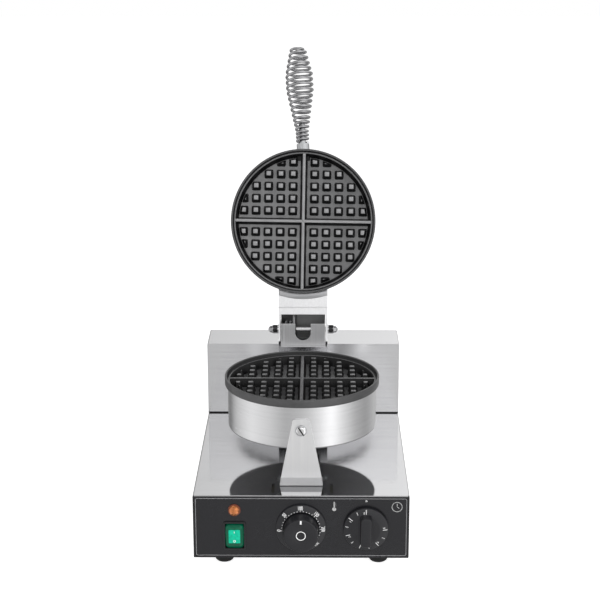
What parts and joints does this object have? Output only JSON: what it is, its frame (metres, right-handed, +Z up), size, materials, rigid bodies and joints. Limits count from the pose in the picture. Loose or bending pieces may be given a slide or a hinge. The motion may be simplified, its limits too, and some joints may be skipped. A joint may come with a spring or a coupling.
{
  "type": "waffle maker",
  "caption": "Round countertop waffle maker with a hinged upper plate, coiled wire handle, steel casing and a dark control panel with two knobs, a lamp and a switch.",
  "frame": {"origin": "centre of the whole appliance in X and Y with the lid open, on the table under its feet", "axes": "+Z up from the table, -Y the side of the control panel, +X to the right of a person facing the panel"},
  "size_m": [0.25, 0.4322, 0.5618],
  "materials": {
    "steel": "brushed",
    "bright": "brushed",
    "chrome": "polished",
    "zinc": "satin",
    "casting": "nonstick coated",
    "panel": "satin",
    "knob": "satin",
    "black": "satin",
    "green": "translucent",
    "amber": "translucent",
    "rubber": "matte",
    "white": "matte",
    "brass": "plain",
    "wool": "matte"
  },
  "bodies": {
    "base": {"base_housing": "steel", "base_plate": "steel", "rubber_feet": "rubber", "foot_screws": "zinc", "foot_nuts": "zinc", "base_screws": "zinc", "control_panel": "panel", "rear_housing": "steel", "rear_cover": "steel", "cover_screws": "zinc", "cable_gland": "black", "gland_nut": "black", "terminal_block": "white", "pilot_lens": "amber", "pilot_lamp": "white", "switch_body": "black", "thermostat_dial": "knob", "thermostat_body": "zinc", "timer_body": "white", "bushing_nuts": "brass", "front_bracket": "bright", "bracket_washer": "zinc", "bracket_screw": "zinc", "bracket_screws": "zinc", "drum_strut": "steel", "lower_shell": "steel", "lower_plate": "casting", "lower_element": "zinc", "lower_clamp": "zinc", "lower_insulation": "wool", "bottom_cover": "black", "clamp_nuts": "zinc", "sensor_bulb": "brass", "hinge_post": "steel", "post_screws": "zinc", "hinge_bracket": "steel", "hinge_bolt": "zinc", "acorn_nuts": "chrome", "hinge_washers": "zinc", "spring_bush": "zinc", "torsion_spring": "chrome"},
    "lid": {"lid_arm": "bright", "arm_screws": "zinc", "upper_shell": "steel", "upper_plate": "casting", "upper_element": "zinc", "upper_clamp": "zinc", "upper_insulation": "wool", "lid_clamp_nuts": "zinc", "handle_stem": "chrome", "handle_grip": "chrome"},
    "thermostat_control": {"thermostat_shaft": "zinc", "thermostat_knob": "knob"},
    "timer_control": {"timer_shaft": "zinc", "timer_knob": "knob"},
    "switch_rocker": {"power_rocker": "green"}
  },
  "joints": [
    {"name": "lid_hinge", "type": "hinge", "parent": "base", "child": "lid", "pos_m": [0, 0.07132, 0.2151], "axis": [1, 0, 0], "range_deg": [0, 108], "deforming": ["torsion_spring"]},
    {"name": "thermostat_turn", "type": "hinge", "parent": "base", "child": "thermostat_control", "pos_m": [0, -0.19118, 0.0565], "axis": [0, 1, 0], "range_deg": [-95, 137]},
    {"name": "timer_turn", "type": "hinge", "parent": "base", "child": "timer_control", "pos_m": [0.075, -0.19118, 0.0565], "axis": [0, 1, 0], "range_deg": [0, 270]},
    {"name": "power_switch", "type": "hinge", "parent": "base", "child": "switch_rocker", "pos_m": [-0.077, -0.18868, 0.0462], "axis": [-1, 0, 0], "range_deg": [0, 14]}
  ]
}
